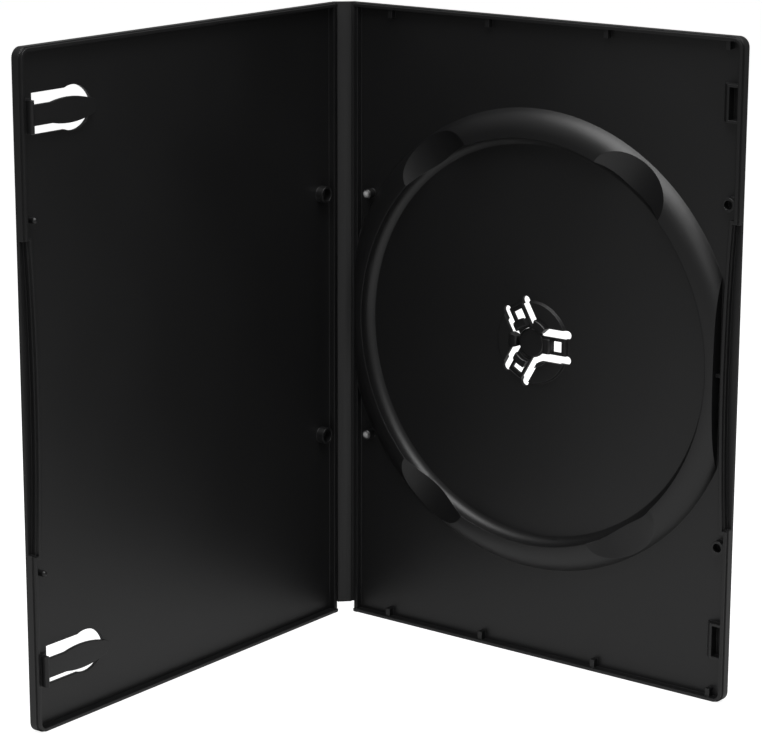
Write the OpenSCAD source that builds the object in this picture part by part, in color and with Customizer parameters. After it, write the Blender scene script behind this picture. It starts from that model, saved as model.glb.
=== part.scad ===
// Slim disc case, standing open like a book at a right angle.
// The whole case is one black moulding: a cover, a spine and a disc tray joined by two
// thin hinge webs, with a sprung hub in the tray. It is drawn as the pieces that move.
// Each panel is drawn flat first, with X running from its hinge axis to its opening edge,
// Y running up from its foot and Z running from its outer face to its inside.

/* [Case] */
// Height of the case, foot to top
case_h = 190; // [180:1:200]
// Width of the shut case, spine to opening edge
case_w = 135; // [134:0.5:142]
// Thickness of the shut case
case_t = 7; // [6.8:0.1:8]
// Thickness of the cover and tray plates and of the spine
plate_t = 1; // [0.8:0.05:1.1]
// Thickness of the walls round the plates
wall_t = 1.2; // [1:0.1:1.4]
// Radius of the corners at the opening edge
corner_r = 3; // [2:0.5:5]
// Gap left between the two rims when the case is shut
shut_gap = 0.1; // [0.05:0.05:0.3]
// Height of the outer faces before they step in towards the parting line
step_n = 2.4; // [2:0.1:2.8]
// Depth of that step
step_in = 0.3; // [0.1:0.05:0.4]

/* [Spine and hinges] */
// Thickness of the hinge webs
web_t = 0.4; // [0.3:0.05:0.5]
// Distance from a hinge axis to the edge of the plate beside it
web_out = 1.2; // [1.15:0.05:1.6]
// Distance from a hinge axis to the edge of the thick strip of the spine
web_in = 1.1; // [1:0.05:1.4]
// Gap between the end of a plate's web and the round of the spine's web
web_gap = 0.05; // [0.03:0.01:0.1]
// Height of the foot of the spine above the foot of the plates
spine_foot = 2.5; // [1:0.5:6]
// Distance from a hinge axis to the low wall beside it
hinge_wall_u = 1.9; // [1.8:0.1:2.2]
// Height of that wall above the outer face
hinge_wall_n = 3; // [2:0.1:3.2]

/* [Thumb notch] */
// Length of the notch along the opening edge
notch_len = 87; // [60:1:110]
// Depth of the notch at its middle
notch_mid = 2.6; // [2:0.1:3.4]
// Depth of the notch at its ends
notch_end = 1.4; // [1.3:0.1:1.8]

/* [Disc recess] */
// Diameter of the disc
disc_d = 120; // [119:0.5:121]
// Bore of the disc
disc_bore = 15; // [14.5:0.1:15.5]
// Thickness of the disc
disc_t = 1.2; // [1:0.1:1.4]
// Distance from the hinge axis to the centre of the disc
disc_u = 66.6; // [66.2:0.1:67]
// Height of the centre of the disc above the middle of the case
disc_lift = 0.6; // [0:0.1:1]
// Gap round the edge of the disc
disc_gap = 0.4; // [0.3:0.1:0.7]
// Radius of the hollow between the floor of the recess and its wall
recess_fillet = 3; // [2:0.25:3.5]
// Gap between the crest of the ring and the shut cover
crest_gap = 0.8; // [0.6:0.1:1.4]
// Width of the flat crest
crest_w = 0.6; // [0.4:0.1:1]
// Width of the rounded outer slope of the ring
slope_w = 7.6; // [7:0.1:7.8]
// Width of the trench between the ring and the wall of the thumb notch
trench_w = 1.6; // [1:0.1:2]
// Angle of the finger scallops from the level line through the hub
scallop_angle = 56; // [50:1:62]
// Radius of the finger scallops
scallop_r = 26; // [20:0.5:28]
// Height of the floor of a scallop above the plate
scallop_floor = 0.8; // [0.5:0.1:1.2]

/* [Hub] */
// Height of the disc seat above the plate
seat_h = 0.9; // [0.9:0.05:1.2]
// Radius of the seat
seat_r = 12; // [11.9:0.1:12.4]
// How far the side of the seat slopes out
seat_slope = 0.4; // [0.3:0.05:0.6]
// Thickness of the spring arms
arm_t = 0.9; // [0.8:0.05:0.9]
// Width of the spring arms
arm_w = 5; // [4.6:0.1:5.1]
// Width of the slots beside the arms
slot_w = 2.5; // [2.1:0.1:2.6]
// Distance from the middle of the hub to the round ends of the slots
slot_end = 13.2; // [13:0.1:14]
// Radius of the opening in the middle of the seat
eye_r = 6.1; // [5.9:0.05:6.4]
// Radius at which each arm bends
bend_r = 11.3; // [11.1:0.05:11.35]
// Height of the fixed posts between the arms above the seat
post_h = 1.2; // [0.8:0.1:1.4]
// Radius of the push button
button_r = 4.4; // [4:0.1:4.6]
// Height of the button above the underside of the arms
button_h = 1.2; // [1:0.1:1.6]
// Gap between the button and the arms, and round the bend
arm_gap = 0.1; // [0.08:0.01:0.12]
// Inner radius of the teeth
tooth_in = 5.3; // [5.1:0.1:5.6]
// Width of the teeth
tooth_w = 4.3; // [3.6:0.1:4.5]
// Gap between the bore of the disc and the teeth and posts
tooth_gap = 0.2; // [0.1:0.05:0.3]
// How far the lips of the teeth reach over the disc
lip_out = 0.2; // [0.15:0.05:0.3]
// Height of the lips
lip_h = 0.6; // [0.5:0.1:0.8]
// Gap between the lips and the face of the disc
lip_gap = 0.1; // [0.05:0.05:0.2]
// Length of the window in each arm
window_l = 3.1; // [2.6:0.1:3.3]
// Width of the window in each arm
window_w = 3.3; // [2.6:0.1:3.6]

/* [Booklet clips] */
// Distance of the clips and latches above and below the middle of the case
clip_z = 76.8; // [72:0.1:78]
// Distance from the opening edge to the root of the clip hole
clip_root = 6; // [4.6:0.1:6.5]
// Distance from the root of the hole to the middle of its wide end
clip_reach = 15.5; // [14:0.1:17]
// Height of the hole beside the neck of the clip
clip_hole_h = 11.2; // [10.6:0.1:11.8]
// Height of the wide end of the hole
clip_end_h = 12.4; // [12:0.1:13]
// Radius of the curved flanks of the wide end
clip_end_r = 7.8; // [7.2:0.2:9]
// Width of the neck of the tongue
tongue_w = 5.6; // [5:0.1:6]
// Width of the head of the tongue
tongue_head_w = 7; // [6.6:0.1:7.4]
// Radius of the flanks of the head
tongue_head_r = 30; // [26:0.5:31]
// Distance from the root of the hole to the widest part of the head
tongue_reach = 11.8; // [11:0.1:12]
// Radius of the tip of the tongue
tongue_tip_r = 2.2; // [1.9:0.05:2.4]
// Thickness of the tongue
tongue_t = 1; // [0.8:0.05:1.1]
// Gap under the tongue, for the booklet
booklet_gap = 1.4; // [1.2:0.1:1.5]

/* [Latches] */
// Height of the block that carries a latch, along the opening edge
block_h = 9.6; // [9:0.1:11]
// Width of the block, from the rim inwards
block_w = 2.3; // [2.2:0.1:2.6]
// Gap between the block and the pocket it shuts over
block_gap = 0.4; // [0.3:0.05:0.6]
// Height of the latch along the opening edge
latch_h = 8.8; // [7:0.1:9]
// Thickness of the latch
latch_t = 1.3; // [1:0.05:1.4]
// Gap between the latch and the rim it slides behind
latch_gap = 0.4; // [0.35:0.05:0.5]
// How far the latch reaches past the rim
latch_reach = 2; // [1.5:0.1:2.4]
// Gap above and below the latch in its pocket
pocket_gap = 0.15; // [0.15:0.05:0.3]
// Thickness of the walls of the pocket
pocket_wall = 0.7; // [0.6:0.1:1]
// Width of the pocket, from the rim inwards
pocket_w = 2.8; // [2.5:0.1:3]
// How far the wall of the pocket slopes out towards the hinge
pocket_slope = 1.9; // [1:0.1:2.2]
// Thickness of the floor of the pocket
pocket_floor = 0.5; // [0.4:0.05:0.7]

/* [Pins and pegs] */
// Distance of the small pins from the middle of the case
pin_z = 49; // [46:0.5:52]
// Radius of the small pins
pin_r = 0.9; // [0.7:0.05:1]
// How far the small pins reach past the parting line
pin_reach = 1.1; // [0.8:0.1:1.5]
// Gap round a pin in its cup
cup_gap = 0.4; // [0.3:0.05:0.5]
// Thickness of the wall of a cup
cup_wall = 0.7; // [0.6:0.05:0.8]
// Distance of the pegs beside the hinge from the middle of the case
peg_z = 37.4; // [37.2:0.1:40]
// Distance from the hinge axis to the pegs
peg_u = 7; // [6.8:0.1:7.1]
// Radius of the pegs
peg_r = 1.5; // [1.3:0.05:1.6]
// How far the round ends of the pegs stand past the parting line
peg_rise = 0.7; // [0.5:0.05:0.8]
// Gap between a peg and its socket
socket_gap = 0.4; // [0.3:0.05:0.5]
// Thickness of the wall of a socket
socket_wall = 0.6; // [0.5:0.05:0.7]
// Width of the small ribs in the foot and the top of the tray
rib_w = 1.5; // [1:0.1:2]
// Height of those ribs above the plate
rib_h = 1.9; // [1.2:0.1:2.1]

/* [Hidden] */
$fn = 32;

case_black = [0.055, 0.055, 0.06];
// Overlap of a cut past the face it opens
cut = 1;
// Fineness of the long arc of the thumb notch
notch_fn = 720;
// Fineness of the disc ring
ring_fn = 80;

web_r = web_t / 2;
reach = case_w - web_r;
axis_gap = case_t - web_t;
half_span = (reach + web_r + axis_gap * cos(45)) / 2;
mid_z = case_h / 2;
disc_z = mid_z + disc_lift;
rim_n = (case_t - shut_gap) / 2;

notch_sag = notch_mid - notch_end;
notch_r = (pow(notch_len / 2, 2) + pow(notch_sag, 2)) / (2 * notch_sag);

crest_r = disc_d / 2 + disc_gap;
crest_n = case_t - plate_t - crest_gap;
crest_out_r = crest_r + crest_w;
foot_r = crest_out_r + slope_w;
slope_h = crest_n - plate_t;
slope_r = (pow(slope_w, 2) + pow(slope_h, 2)) / (2 * slope_h);
ring_cut_u = reach - notch_mid - wall_t - trench_w;
// Clearance of the ring from the low wall of the shut cover
ring_wall_gap = 0.3;
// How far a curved face passes a flat one, so that they cross and don't just touch
meet = 0.1;

seat_n = plate_t + seat_h;
arm_under_n = seat_n - arm_t;
bend_n = seat_n - arm_t / 2;
tooth_out = disc_bore / 2 - tooth_gap;
lip_r = disc_bore / 2 + lip_out;
lip_n = seat_n + disc_t + lip_gap;
tooth_top_n = lip_n + lip_h;
ARM_ANGLES = [0, 120, 240];

tongue_n = plate_t + booklet_gap;
clip_root_u = reach - clip_root;
clip_end_u = clip_root_u - clip_reach;
tongue_head_u = clip_root_u - tongue_reach;
tongue_tip_u = tongue_head_u - sqrt(pow(tongue_head_r, 2)
    - pow(tongue_head_r - tongue_head_w / 2 + tongue_tip_r, 2));
rim_in_u = reach - wall_t;
block_n = rim_n - block_gap / 2;
latch_out_u = rim_in_u - latch_gap;
latch_top_n = rim_n + latch_reach;
pocket_h = latch_h + 2 * pocket_gap;

cup_r = pin_r + cup_gap;
cup_out_r = cup_r + cup_wall;
cup_u = rim_in_u - cup_out_r;
cup_n = rim_n - block_gap / 2;
socket_r = peg_r + socket_gap;
peg_dome_r = (pow(peg_r, 2) + pow(peg_rise + shut_gap, 2)) / (2 * (peg_rise + shut_gap));
rib_u = [15, 50, 90.5, reach - 5.1];

// Both places, above and below the middle of the case, where a thing is repeated
module above_and_below(z, lift = 0) {
    for (side = [-1, 1]) translate([0, mid_z + lift + side * z, 0]) children();
}

// Outline of a panel set in by a distance, with the thumb notch taken out of its opening edge
module outline(inset, left) {
    r = max(corner_r - inset, 0.5);
    difference() {
        union() {
            translate([left, inset]) square([reach - inset - r - left, case_h - 2 * inset]);
            translate([left, inset + r]) square([reach - inset - left, case_h - 2 * inset - 2 * r]);
            for (y = [inset + r, case_h - inset - r]) translate([reach - inset - r, y]) circle(r = r);
        }
        intersection() {
            translate([reach - notch_mid + notch_r, mid_z]) circle(r = notch_r + inset, $fn = notch_fn);
            translate([reach / 2, mid_z - notch_len / 2 - inset]) square([reach, notch_len + 2 * inset]);
        }
    }
}

// Flat plate, with no notch in it
module plate() {
    translate([web_out, 0, 0]) linear_extrude(plate_t) difference() {
        union() {
            square([reach - web_out - corner_r, case_h]);
            translate([0, corner_r]) square([reach - web_out, case_h - 2 * corner_r]);
            for (y = [corner_r, case_h - corner_r]) translate([reach - web_out - corner_r, y]) circle(r = corner_r);
        }
    }
}

// Walls round the foot, the opening edge and the top, stepped in towards the parting line
module rim() {
    linear_extrude(step_n) difference() {
        outline(0, hinge_wall_u);
        outline(wall_t, hinge_wall_u - cut);
    }
    translate([0, 0, step_n]) linear_extrude(rim_n - step_n) difference() {
        outline(step_in, hinge_wall_u);
        outline(wall_t, hinge_wall_u - cut);
    }
}

// Low wall beside the hinge
module hinge_wall() {
    translate([hinge_wall_u, 0, 0]) cube([wall_t, case_h, hinge_wall_n]);
}

// Thin web from the plate to the hinge axis, short of the foot as the spine is
module panel_web() {
    end_u = web_r + web_gap;
    translate([end_u, spine_foot, 0]) cube([web_out - end_u + plate_t / 2, case_h - spine_foot, web_t]);
}

// Plate, walls and web that the cover and the tray have alike
module panel() {
    plate();
    rim();
    hinge_wall();
    panel_web();
}

// Section of the disc ring: hollow inner wall, flat crest, rounded outer slope
module ring_section() {
    low = plate_t / 2;
    intersection() {
        translate([crest_out_r, crest_n - slope_r]) circle(r = slope_r);
        translate([crest_out_r, low]) square([slope_w, crest_n - low]);
    }
    translate([crest_r, low]) square([crest_w, crest_n - low]);
    fillet_n = plate_t + recess_fillet - meet;
    difference() {
        translate([crest_r - recess_fillet, low]) square([recess_fillet, fillet_n - low]);
        translate([crest_r - recess_fillet, fillet_n]) circle(r = recess_fillet);
    }
}

// Section of the groove behind the ring, which keeps its wall even
module groove_section() {
    intersection() {
        translate([crest_out_r, crest_n - slope_r]) circle(r = slope_r - plate_t);
        translate([crest_out_r + plate_t / 2, -cut]) square([slope_w, crest_n + cut]);
    }
}

// Four cylinders that scoop the finger scallops, their lowest line at the given height
module scallops(r, low) {
    for (a = [scallop_angle, 180 - scallop_angle, 180 + scallop_angle, -scallop_angle])
        rotate([0, 0, a]) translate([crest_r - 2 * recess_fillet, 0, low + r]) rotate([0, 90, 0])
            cylinder(r = r, h = slope_w + crest_w + 4 * recess_fillet);
}

module ring() {
    translate([disc_u, disc_z, 0]) difference() {
        rotate_extrude($fn = ring_fn) ring_section();
        scallops(scallop_r, plate_t + scallop_floor);
        translate([ring_cut_u - disc_u, -case_h / 2, -cut]) cube([case_w, case_h, case_t]);
        translate([hinge_wall_u - disc_u - case_w, -case_h / 2, -cut]) cube([case_w, case_h, case_t]);
        translate([hinge_wall_u + wall_t + ring_wall_gap - disc_u - case_w, -case_h / 2, hinge_wall_n])
            cube([case_w, case_h, case_t]);
    }
}

module ring_groove() {
    left = hinge_wall_u + wall_t + plate_t;
    translate([disc_u, disc_z, 0]) difference() {
        rotate_extrude($fn = ring_fn) groove_section();
        scallops(scallop_r + plate_t, scallop_floor);
        translate([ring_cut_u - plate_t - disc_u, -case_h / 2, -2 * cut]) cube([case_w, case_h, case_t + 2 * cut]);
        translate([left - disc_u - case_w, -case_h / 2, -2 * cut]) cube([case_w, case_h, case_t + 2 * cut]);
    }
}

// Small rib that ties the ring to the wall of the thumb notch
module trench_rib() {
    translate([ring_cut_u - plate_t / 2, disc_z - plate_t / 2, plate_t / 2])
        cube([trench_w + plate_t, plate_t, rim_n - plate_t]);
}

// Raised disc seat, with the fixed posts that stand in the bore of the disc between the arms
module seat() {
    translate([disc_u, disc_z, plate_t]) {
        cylinder(r1 = seat_r + seat_slope, r2 = seat_r, h = seat_h);
        cylinder(r = tooth_out, h = seat_h + post_h);
    }
}

// Everything cut out of the seat: the eye, the arms with their slots, and the hollow behind
module seat_cuts() {
    translate([disc_u, disc_z, 0]) {
        translate([0, 0, -cut]) cylinder(r = eye_r, h = case_t);
        translate([0, 0, -cut]) cylinder(r = seat_r - wall_t, h = arm_under_n + cut);
        for (a = ARM_ANGLES) rotate([0, 0, a]) {
            for (side = [-1, 1]) translate([0, side * (arm_w + slot_w) / 2, -cut]) {
                translate([0, -slot_w / 2, 0]) cube([slot_end - slot_w / 2, slot_w, case_t]);
                translate([slot_end - slot_w / 2, 0, 0]) cylinder(r = slot_w / 2, h = case_t);
            }
            translate([0, -arm_w / 2 - arm_gap, -cut]) cube([bend_r + arm_gap, arm_w + 2 * arm_gap, case_t]);
            translate([bend_r, arm_w / 2 + arm_gap, bend_n]) rotate([90, 0, 0])
                cylinder(r = arm_t / 2 + arm_gap, h = arm_w + 2 * arm_gap);
        }
    }
}

// Section of the pocket that takes a latch, before it is hollowed: it slopes on the side of the hinge
module pocket_section() {
    top_u = rim_in_u - pocket_w - pocket_wall;
    polygon([
        [rim_in_u + wall_t / 2, plate_t / 2],
        [rim_in_u + wall_t / 2, block_n],
        [top_u, block_n],
        [top_u - pocket_slope, plate_t],
        [top_u - pocket_slope, plate_t / 2]
    ]);
}

module pocket_walls() {
    length = pocket_h + 2 * pocket_wall;
    translate([0, length / 2, 0]) rotate([90, 0, 0]) linear_extrude(length) pocket_section();
}

module pocket_hole() {
    translate([rim_in_u - pocket_w, -pocket_h / 2, pocket_floor]) cube([pocket_w, pocket_h, case_t]);
}

// Cup that takes a small pin
module cup() {
    translate([cup_u, 0, plate_t / 2]) difference() {
        union() {
            cylinder(r = cup_out_r, h = cup_n - plate_t / 2);
            translate([0, -cup_r, 0]) cube([cup_out_r + wall_t / 2, 2 * cup_r, cup_n - plate_t / 2]);
        }
        translate([0, 0, plate_t / 2]) cylinder(r = cup_r, h = case_t);
    }
}

// Section of a round-ended peg
module peg_section() {
    top_n = rim_n + shut_gap + peg_rise;
    translate([0, plate_t / 2]) square([peg_r, rim_n - plate_t / 2]);
    intersection() {
        translate([0, top_n - peg_dome_r]) circle(r = peg_dome_r);
        translate([0, rim_n - cut / 4]) square([peg_r, case_t]);
    }
}

// Round-ended peg beside the hinge
module peg() {
    translate([peg_u, 0, 0]) rotate_extrude() peg_section();
}

// Small ribs inside the walls at the foot and the top
module tray_ribs() {
    for (u = rib_u, y = [wall_t / 2, case_h - wall_t / 2 - 2 * rib_w])
        translate([u - rib_w / 2, y, plate_t / 2]) cube([rib_w, 2 * rib_w, rib_h + plate_t / 2]);
}

module tray_flat() {
    difference() {
        union() {
            panel();
            ring();
            trench_rib();
            seat();
            tray_ribs();
            above_and_below(clip_z) pocket_walls();
            above_and_below(pin_z) cup();
            above_and_below(peg_z, disc_lift) peg();
        }
        ring_groove();
        seat_cuts();
        above_and_below(clip_z) pocket_hole();
    }
}

// Hole in the cover under a booklet clip: a straight neck and a wide, round-flanked end
module clip_hole() {
    flank = clip_end_r - clip_end_h / 2;
    translate([0, 0, -cut]) linear_extrude(plate_t + 2 * cut) {
        translate([clip_end_u, -clip_hole_h / 2]) square([clip_reach, clip_hole_h]);
        intersection() {
            translate([clip_end_u, flank]) circle(r = clip_end_r);
            translate([clip_end_u, -flank]) circle(r = clip_end_r);
        }
    }
}

// Tongue of a booklet clip, which springs from the latch block over its hole
module clip_tongue() {
    flank = tongue_head_r - tongue_head_w / 2;
    root_u = rim_in_u - block_w / 2;
    translate([0, 0, tongue_n]) linear_extrude(tongue_t) {
        translate([tongue_head_u, -tongue_w / 2]) square([root_u - tongue_head_u, tongue_w]);
        translate([tongue_tip_u, 0]) circle(r = tongue_tip_r);
        intersection() {
            translate([tongue_head_u, flank]) circle(r = tongue_head_r, $fn = 180);
            translate([tongue_head_u, -flank]) circle(r = tongue_head_r, $fn = 180);
            translate([tongue_tip_u, -tongue_head_w]) square([case_w, 2 * tongue_head_w]);
        }
    }
}

// Block inside the rim that carries the latch and the tongue
module latch() {
    translate([rim_in_u - block_w, -block_h / 2, plate_t / 2])
        cube([block_w + wall_t / 2, block_h, block_n - plate_t / 2]);
    translate([latch_out_u - latch_t, -latch_h / 2, plate_t])
        cube([latch_t, latch_h, latch_top_n - plate_t - latch_t / 2]);
    translate([latch_out_u - latch_t / 2, latch_h / 2, latch_top_n - latch_t / 2]) rotate([90, 0, 0])
        cylinder(r = latch_t / 2, h = latch_h);
}

// Small pin with a rounded end
module pin() {
    straight_n = rim_n + pin_reach - pin_r;
    translate([cup_u, 0, 0]) rotate_extrude() {
        translate([0, plate_t / 2]) square([pin_r, straight_n - plate_t / 2]);
        intersection() {
            translate([0, straight_n]) circle(r = pin_r);
            translate([0, straight_n - cut / 4]) square([pin_r, case_t]);
        }
    }
}

// Socket that the round end of a peg enters when the case is shut
module socket() {
    translate([peg_u, 0, plate_t / 2]) difference() {
        cylinder(r = socket_r + socket_wall, h = rim_n - plate_t / 2);
        translate([0, 0, plate_t / 2]) cylinder(r = socket_r, h = case_t);
    }
}

module cover_flat() {
    difference() {
        panel();
        above_and_below(clip_z) clip_hole();
    }
    above_and_below(clip_z) {
        clip_tongue();
        latch();
    }
    above_and_below(pin_z) pin();
    above_and_below(peg_z, disc_lift) socket();
}

// Spine strip with a web and a round bead at each hinge axis, from the cover's axis to the tray's
module spine_flat() {
    translate([0, spine_foot, 0]) {
        h = case_h - spine_foot;
        translate([web_in, 0, 0]) cube([axis_gap - 2 * web_in, h, plate_t]);
        translate([0, 0, 0]) cube([axis_gap, h, web_t]);
        for (u = [0, axis_gap]) translate([u, 0, web_r]) rotate([-90, 0, 0]) cylinder(r = web_r, h = h);
    }
}

// Section of a tooth: upright post with a lip that hooks over the disc
module tooth_section() {
    polygon([
        [tooth_in, arm_under_n],
        [tooth_out, arm_under_n],
        [tooth_out, lip_n],
        [lip_r, lip_n + lip_out],
        [tooth_out - lip_out, tooth_top_n],
        [tooth_in + lip_out, tooth_top_n],
        [tooth_in, tooth_top_n - lip_out]
    ]);
}

// One spring arm, drawn along X from the button to its bend
module arm() {
    difference() {
        union() {
            translate([0, -arm_w / 2, arm_under_n]) cube([bend_r, arm_w, arm_t]);
            translate([bend_r, arm_w / 2, bend_n]) rotate([90, 0, 0]) cylinder(r = arm_t / 2, h = arm_w);
            intersection() {
                rotate_extrude() tooth_section();
                translate([0, -tooth_w / 2, 0]) cube([seat_r, tooth_w, case_t]);
            }
        }
        translate([0, 0, -cut]) cylinder(r = button_r + arm_gap, h = case_t);
        translate([tooth_out, -window_w / 2, 0]) cube([window_l, window_w, seat_n + cut / 4]);
    }
}

// Section of the push button, its top edge rounded
module button_section() {
    edge = button_h / 2;
    square([button_r - edge, button_h]);
    square([button_r, button_h - edge]);
    translate([button_r - edge, button_h - edge]) circle(r = edge);
}

// Places a flat panel drawing where the tray stands
module at_tray() {
    translate([half_span - reach, half_span - web_r, 0]) rotate([90, 0, 0]) translate([0, 0, -web_r]) children();
}

// Places a flat panel drawing where the cover stands
module at_cover() {
    translate([web_r - half_span, reach - half_span, 0]) rotate([90, 0, 90]) mirror([1, 0, 0])
        translate([0, 0, -web_r]) children();
}

// Places the flat spine drawing between the two hinge axes
module at_spine() {
    translate([web_r - half_span, reach - half_span, 0]) rotate([0, 0, 45]) rotate([90, 0, 0])
        translate([0, 0, -web_r]) children();
}

module at_hub(angle) {
    at_tray() translate([disc_u, disc_z, 0]) rotate([0, 0, angle]) children();
}

module rear_tray() {
    color(case_black) at_tray() tray_flat();
}

module hub_button() {
    color(case_black) at_hub(0) translate([0, 0, arm_under_n]) rotate_extrude() button_section();
}

module hub_arm_side() {
    color(case_black) at_hub(ARM_ANGLES[0]) arm();
}

module hub_arm_upper() {
    color(case_black) at_hub(ARM_ANGLES[1]) arm();
}

module hub_arm_lower() {
    color(case_black) at_hub(ARM_ANGLES[2]) arm();
}

module spine() {
    color(case_black) at_spine() spine_flat();
}

module front_cover() {
    color(case_black) at_cover() cover_flat();
}

rear_tray();
hub_button();
hub_arm_side();
hub_arm_upper();
hub_arm_lower();
spine();
front_cover();
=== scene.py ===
# Looks of a slim disc case that stands open like a book: black moulded plastic on a pale floor.
import math

import bpy
from mathutils import Matrix, Vector


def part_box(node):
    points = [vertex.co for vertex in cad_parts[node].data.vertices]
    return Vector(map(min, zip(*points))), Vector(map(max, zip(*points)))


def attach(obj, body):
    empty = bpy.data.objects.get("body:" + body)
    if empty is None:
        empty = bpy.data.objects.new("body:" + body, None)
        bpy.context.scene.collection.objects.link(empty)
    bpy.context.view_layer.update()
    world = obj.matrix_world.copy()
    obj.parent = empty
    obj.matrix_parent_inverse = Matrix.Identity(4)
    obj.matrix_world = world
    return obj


MM = 0.001

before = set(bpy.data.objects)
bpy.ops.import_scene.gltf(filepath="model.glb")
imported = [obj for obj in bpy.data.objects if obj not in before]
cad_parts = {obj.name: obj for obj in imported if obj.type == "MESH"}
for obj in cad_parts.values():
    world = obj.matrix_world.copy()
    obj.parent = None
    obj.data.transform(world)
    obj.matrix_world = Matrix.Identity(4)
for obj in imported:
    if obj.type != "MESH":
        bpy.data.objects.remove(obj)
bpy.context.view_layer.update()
scene = bpy.context.scene

# Camera: where it stands in metres, how it is turned in degrees, and its lens and sensor in millimetres
CAMERA_PLACE = Vector((0.4511, -0.5909, 0.2848))
CAMERA_TURN = 37.64
CAMERA_TILT = 13.88
CAMERA_ROLL = 0.12
CAMERA_LENS = 132.78
CAMERA_SENSOR = 36.0
CAMERA_SHIFT = (0.0117, -0.0012)

# Light: square softboxes (name, place, aim, size in metres, power in watts) and a weak, even surround
SKY_LEVEL = 0.16
SKY_GLOSS = 0.06
SOFTBOXES = [
    ("overhead_softbox", Vector((0.1, -0.12, 0.62)), Vector((0.0, 0.0, 0.0)), 0.48, 4.5),
    ("front_softbox", Vector((0.61, -0.69, 0.54)), Vector((0.0, 0.0, 0.1)), 0.25, 0.6),
]
FLOOR_SIZE = 12.0
FLOOR_GREY = 0.68
FLOOR_LIFT = 0.88

# Plastic of the case
BLACK = (0.003, 0.003, 0.0032)
DUSTY_BLACK = (0.0055, 0.0055, 0.0058)
# Pale grey painted onto the peg tips as a highlight
PEG_GLINT_GREY = (0.3, 0.3, 0.3)
REFRACTION = 1.49
EDGE_ROUNDING = 0.25 * MM

# Marks on the plastic: how fine each pattern is, in waves per metre, and how deep or sharp it is
FLOW_SCALE = 22.0
DUST_SCALE = 900.0
DUST_START = 0.62
DUST_SHARPNESS = 6.0
GRAIN_SCALE = 5200.0
GRAIN_DEPTH = 0.012 * MM
SWELL_SCALE = 34.0
SWELL_DEPTH = 0.25 * MM
SWELL_STRENGTH = 0.35
STREAK_SCALE = 1600.0
STREAK_STRETCH = (1.0, 1.0, 0.012)
STREAK_DEPTH = 0.15 * MM

# Pegs beside the tray's hinge, whose tips carry a painted highlight in pale grey: places from the hub, and
# size of the tips
PEG_ACROSS = 59.6 * MM
PEG_UP = 37.4 * MM
PEG_TIP_R = 1.2 * MM
PEG_TIP_DEPTH = 3.3 * MM
PEG_TIP_BLUR = 0.6 * MM

# Fixed fingers of the hub, between its sprung arms: radii from the middle, heights from the tray's outer face
FINGER_SIZES = {
    "Count": 2, "First Angle": math.radians(60.0), "Spacing": math.radians(120.0),
    "Inner Radius": 4.6 * MM, "Outer Radius": 7.35 * MM, "Half Angle": math.radians(18.0),
    "Bottom": 0.4 * MM, "Top": 3.3 * MM, "Rounding": 0.4 * MM,
}
CORNER_POINTS = 5
ARC_POINTS = 25


class Value:
    """A socket in a node tree. Arithmetic on it adds the Math nodes."""

    def __init__(self, tree, socket):
        self.tree = tree
        self.socket = socket

    def math(self, operation, *others):
        node = self.tree.nodes.new("ShaderNodeMath")
        node.operation = operation
        for place, item in zip(node.inputs, (self, *others)):
            join(self.tree, item, place)
        return Value(self.tree, node.outputs[0])

    def __add__(self, other):
        return self.math("ADD", other)

    def __radd__(self, other):
        return self.math("ADD", other)

    def __sub__(self, other):
        return self.math("SUBTRACT", other)

    def __rsub__(self, other):
        return Value.of(self.tree, other).math("SUBTRACT", self)

    def __mul__(self, other):
        return self.math("MULTIPLY", other)

    def __rmul__(self, other):
        return self.math("MULTIPLY", other)

    def clamp(self):
        low = self.math("MAXIMUM", 0.0)
        return low.math("MINIMUM", 1.0)

    @staticmethod
    def of(tree, number):
        node = tree.nodes.new("ShaderNodeValue")
        node.outputs[0].default_value = number
        return Value(tree, node.outputs[0])


def join(tree, item, socket):
    """Feeds a socket with a Value, or sets it to a plain number, colour or vector."""
    if isinstance(item, Value):
        tree.links.new(item.socket, socket)
    else:
        socket.default_value = item


class Tree:
    """A node tree, with a single way to add a node to it."""

    def node(self, kind, settings=None, out=0, **inputs):
        node = self.tree.nodes.new(kind)
        for key, setting in (settings or {}).items():
            setattr(node, key, setting)
        for key, item in inputs.items():
            join(self.tree, item, node.inputs[key.replace("_", " ")])
        return Value(self.tree, node.outputs[out])

    def vector(self, x=0.0, y=0.0, z=0.0):
        return self.node("ShaderNodeCombineXYZ", X=x, Y=y, Z=z)


class Shader(Tree):
    """The node tree of one material."""

    def __init__(self, name):
        self.material = bpy.data.materials.new(name)
        self.material.use_nodes = True
        self.tree = self.material.node_tree
        self.tree.nodes.clear()

    def place(self):
        """Where a point of the surface is, in metres in the part's frame."""
        return self.node("ShaderNodeTexCoord", out="Object")

    def axes(self):
        split = self.tree.nodes.new("ShaderNodeSeparateXYZ")
        join(self.tree, self.place(), split.inputs[0])
        return [Value(self.tree, place) for place in split.outputs]

    def noise(self, scale, detail=2.0, rough=0.5, stretch=None, **settings):
        place = self.place()
        if stretch:
            place = self.node("ShaderNodeMapping", Vector=place, Scale=stretch)
        return self.node("ShaderNodeTexNoise", settings, Vector=place, Scale=scale, Detail=detail,
                         Roughness=rough)

    def surface(self, shader):
        out = self.tree.nodes.new("ShaderNodeOutputMaterial")
        self.tree.links.new(shader.socket, out.inputs["Surface"])
        return self.material


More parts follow.
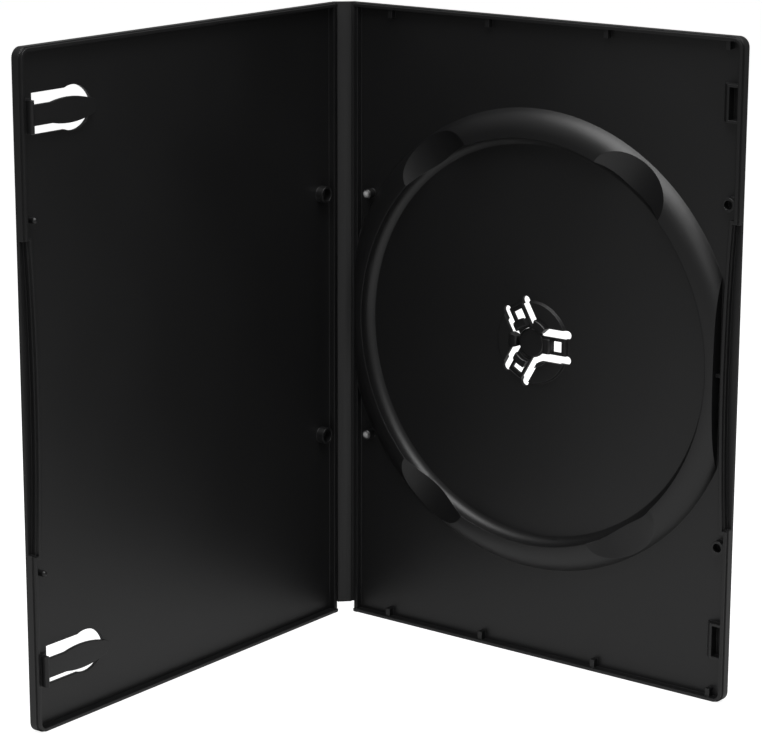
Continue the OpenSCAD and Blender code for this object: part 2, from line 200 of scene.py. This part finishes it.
class Shape(Tree):
    """A Geometry Nodes tree whose sizes are its named inputs."""

    def __init__(self, name, sizes):
        self.tree = bpy.data.node_groups.new(name, "GeometryNodeTree")
        ports = self.tree.interface
        for key, size in sizes.items():
            kind = "NodeSocketInt" if isinstance(size, int) else "NodeSocketFloat"
            ports.new_socket(key, in_out="INPUT", socket_type=kind).default_value = size
        ports.new_socket("Material", in_out="INPUT", socket_type="NodeSocketMaterial")
        ports.new_socket("Mesh", in_out="OUTPUT", socket_type="NodeSocketGeometry")
        self.inputs = self.tree.nodes.new("NodeGroupInput")

    def size(self, key):
        return Value(self.tree, self.inputs.outputs[key])

    def moved(self, shape, shift=(0.0, 0.0, 0.0), turn=(0.0, 0.0, 0.0)):
        return self.node("GeometryNodeTransform", Geometry=shape, Translation=shift, Rotation=turn)

    def rectangle(self, width, height, corner):
        outline = self.node("GeometryNodeCurvePrimitiveQuadrilateral", Width=width, Height=height)
        return self.node("GeometryNodeFilletCurve", {"mode": "POLY"}, Curve=outline, Count=CORNER_POINTS,
                         Radius=corner)

    def arc(self, radius, half_angle):
        return self.node("GeometryNodeCurveArc", {"mode": "RADIUS"}, Resolution=ARC_POINTS, Radius=radius,
                         Start_Angle=half_angle * -1.0, Sweep_Angle=half_angle * 2.0)

    def swept(self, path, section):
        return self.node("GeometryNodeCurveToMesh", Curve=path, Profile_Curve=section, Fill_Caps=True)

    def around(self, shape, count, first, spacing):
        """Copies of the shape round the middle, from the first angle on and evenly spaced."""
        points = self.node("GeometryNodePoints", Count=count)
        angle = self.node("GeometryNodeInputIndex") * spacing + first
        turn = self.node("FunctionNodeEulerToRotation", Euler=self.vector(z=angle))
        return self.node("GeometryNodeInstanceOnPoints", Points=points, Instance=shape, Rotation=turn)

    def finish(self, shape, place):
        """Stands the shape, drawn flat with Z out of the tray, at its place in the part."""
        upright = self.moved(shape, shift=tuple(place), turn=(math.pi / 2, 0.0, 0.0))
        solid = self.node("GeometryNodeRealizeInstances", Geometry=upright)
        dressed = self.node("GeometryNodeSetMaterial", Geometry=solid, Material=self.size("Material"))
        out = self.tree.nodes.new("NodeGroupOutput")
        join(self.tree, dressed, out.inputs["Mesh"])
        return self.tree


def mixed(shader, amount, first, second):
    """A colour between two others."""
    node = shader.tree.nodes.new("ShaderNodeMix")
    node.data_type = "RGBA"
    join(shader.tree, amount, node.inputs[0])
    for socket, colour in ((node.inputs[6], first), (node.inputs[7], second)):
        join(shader.tree, colour if isinstance(colour, Value) else (*colour, 1.0), socket)
    return Value(shader.tree, node.outputs[2])


def middle_of_hub():
    """Where the hub stands across and up the tray, and where the tray's outer face is."""
    low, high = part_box("hub_button")
    return (low.x + high.x) / 2, (low.z + high.z) / 2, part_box("rear_tray")[1].y


def painted_peg_glint(sh):
    """How far the tips of the two pegs are painted pale as a highlight, from 0 to 1."""
    across, up, back = middle_of_hub()
    x, y, z = sh.axes()
    side = x - (across - PEG_ACROSS)
    rise = (z - up).math("ABSOLUTE") - PEG_UP
    off_axis = (side * side + rise * rise).math("SQRT")
    near = ((PEG_TIP_R - off_axis) * (1.0 / PEG_TIP_BLUR)).clamp()
    proud = ((back - PEG_TIP_DEPTH - y) * (1.0 / PEG_TIP_BLUR)).clamp()
    return near * proud


def moulded_black(name, roughness, grain, streaks=0.0):
    """Black moulded plastic: flow marks, a little dust, fine grain, streaks along it, rounded edges, and a
    painted highlight on the peg tips.
    """
    sh = Shader(name)
    flow = sh.noise(FLOW_SCALE, detail=3.0)
    dust = sh.noise(DUST_SCALE, detail=2.0, rough=0.7)
    speckle = ((dust - DUST_START) * DUST_SHARPNESS).clamp()
    moulded = mixed(sh, ((flow - 0.35) * 0.8 + speckle * 0.5).clamp(), BLACK, DUSTY_BLACK)
    # Painted highlight: the peg tips are mixed towards pale grey
    tint = mixed(sh, painted_peg_glint(sh), moulded, PEG_GLINT_GREY)
    drawn = sh.noise(STREAK_SCALE, detail=2.0, stretch=STREAK_STRETCH)
    gloss = roughness + (flow - 0.5) * 0.1 + speckle * 0.06 + (drawn - 0.5) * streaks
    fine = sh.noise(GRAIN_SCALE, detail=1.0)
    waves = sh.noise(SWELL_SCALE, detail=1.0)
    rounded = sh.node("ShaderNodeBevel", {"samples": 6}, Radius=EDGE_ROUNDING)
    swell = sh.node("ShaderNodeBump", Height=waves, Distance=SWELL_DEPTH, Strength=SWELL_STRENGTH,
                    Normal=rounded)
    lines = sh.node("ShaderNodeBump", Height=drawn * streaks, Distance=STREAK_DEPTH, Strength=1.0,
                    Normal=swell)
    texture = sh.node("ShaderNodeBump", Height=fine, Distance=GRAIN_DEPTH, Strength=grain, Normal=lines)
    plastic = sh.node("ShaderNodeBsdfPrincipled", Base_Color=tint, Roughness=gloss, Normal=texture,
                      IOR=REFRACTION)
    return sh.surface(plastic)


def pale_floor():
    """White floor that the camera sees as white, and that keeps the shadow."""
    sh = Shader("pale_floor")
    seen = sh.node("ShaderNodeLightPath", out="Is Camera Ray")
    matt = sh.node("ShaderNodeBsdfDiffuse", Color=(FLOOR_GREY, FLOOR_GREY, FLOOR_GREY, 1.0))
    lift = sh.node("ShaderNodeEmission", Color=(1.0, 1.0, 1.0, 1.0), Strength=seen * FLOOR_LIFT)
    both = sh.tree.nodes.new("ShaderNodeAddShader")
    join(sh.tree, matt, both.inputs[0])
    join(sh.tree, lift, both.inputs[1])
    return sh.surface(Value(sh.tree, both.outputs[0]))


def hub_fingers():
    """Fixed fingers with rounded tops, on the seat between the sprung arms."""
    shape = Shape("hub_fingers", FINGER_SIZES)
    inner, outer = shape.size("Inner Radius"), shape.size("Outer Radius")
    low, high = shape.size("Bottom"), shape.size("Top")
    section = shape.rectangle(outer - inner, high - low, shape.size("Rounding"))
    finger = shape.swept(shape.arc((inner + outer) * 0.5, shape.size("Half Angle")), section)
    raised = shape.moved(finger, shift=shape.vector(z=(low + high) * 0.5))
    fingers = shape.around(raised, shape.size("Count"), shape.size("First Angle"), shape.size("Spacing"))
    across, up, back = middle_of_hub()
    return shape.finish(fingers, (across, back, up))


def grown(name, tree, sizes, material, body):
    """The mesh that a Geometry Nodes tree makes, as a plain piece that rides on a body."""
    piece = bpy.data.objects.new(name, bpy.data.meshes.new(name))
    scene.collection.objects.link(piece)
    maker = piece.modifiers.new("maker", "NODES")
    maker.node_group = tree
    for port in tree.interface.items_tree:
        if port.in_out == "INPUT":
            maker[port.identifier] = material if port.name == "Material" else sizes[port.name]
    ready = piece.evaluated_get(bpy.context.evaluated_depsgraph_get())
    mesh = bpy.data.meshes.new_from_object(ready)
    piece.modifiers.remove(maker)
    piece.data = mesh
    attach(piece, body)


def dress(nodes, material):
    for name in nodes:
        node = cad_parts[name]
        node.data.materials.clear()
        node.data.materials.append(material)


def lay_floor():
    half = FLOOR_SIZE / 2
    mesh = bpy.data.meshes.new("floor")
    corners = [(-half, -half, 0), (half, -half, 0), (half, half, 0), (-half, half, 0)]
    mesh.from_pydata(corners, [], [(0, 1, 2, 3)])
    floor = bpy.data.objects.new("floor", mesh)
    floor.data.materials.append(pale_floor())
    scene.collection.objects.link(floor)


def light_studio():
    world = bpy.data.worlds.new("surround")
    world.use_nodes = True
    tree = world.node_tree
    tree.nodes.clear()
    seen = tree.nodes.new("ShaderNodeLightPath")
    camera = Value(tree, seen.outputs["Is Camera Ray"]) * (1.0 - SKY_LEVEL)
    gloss = Value(tree, seen.outputs["Is Glossy Ray"]) * SKY_GLOSS
    level = camera + gloss + SKY_LEVEL
    sky = tree.nodes.new("ShaderNodeBackground")
    sky.inputs["Color"].default_value = (1.0, 1.0, 1.0, 1.0)
    join(tree, level, sky.inputs["Strength"])
    out = tree.nodes.new("ShaderNodeOutputWorld")
    tree.links.new(sky.outputs[0], out.inputs["Surface"])
    scene.world = world

    for name, place, aim, size, power in SOFTBOXES:
        lamp = bpy.data.lights.new(name, "AREA")
        lamp.shape = "SQUARE"
        lamp.size = size
        lamp.energy = power
        softbox = bpy.data.objects.new(name, lamp)
        softbox.location = place
        softbox.rotation_euler = (place - aim).to_track_quat("Z", "Y").to_euler()
        softbox.visible_camera = False
        scene.collection.objects.link(softbox)


def place_camera():
    lens = bpy.data.cameras.new("camera")
    lens.lens = CAMERA_LENS
    lens.sensor_width = CAMERA_SENSOR
    lens.shift_x, lens.shift_y = CAMERA_SHIFT
    camera = bpy.data.objects.new("camera", lens)
    turn = Matrix.Rotation(math.radians(CAMERA_TURN), 4, "Z")
    tilt = Matrix.Rotation(math.radians(90.0 - CAMERA_TILT), 4, "X")
    roll = Matrix.Rotation(math.radians(CAMERA_ROLL), 4, "Z")
    camera.matrix_world = Matrix.Translation(CAMERA_PLACE) @ turn @ tilt @ roll
    scene.collection.objects.link(camera)
    scene.camera = camera


case_plastic = moulded_black("case_plastic", roughness=0.42, grain=0.25)
hub_plastic = moulded_black("hub_plastic", roughness=0.36, grain=0.15)
spine_plastic = moulded_black("spine_plastic", roughness=0.5, grain=0.25, streaks=0.35)
dress(("rear_tray", "front_cover"), case_plastic)
dress(("spine",), spine_plastic)
dress(("hub_button", "hub_arm_side", "hub_arm_upper", "hub_arm_lower"), hub_plastic)
grown("hub_fingers", hub_fingers(), FINGER_SIZES, hub_plastic, "rear_tray")
lay_floor()
light_studio()
place_camera()
scene.view_settings.view_transform = "Standard"
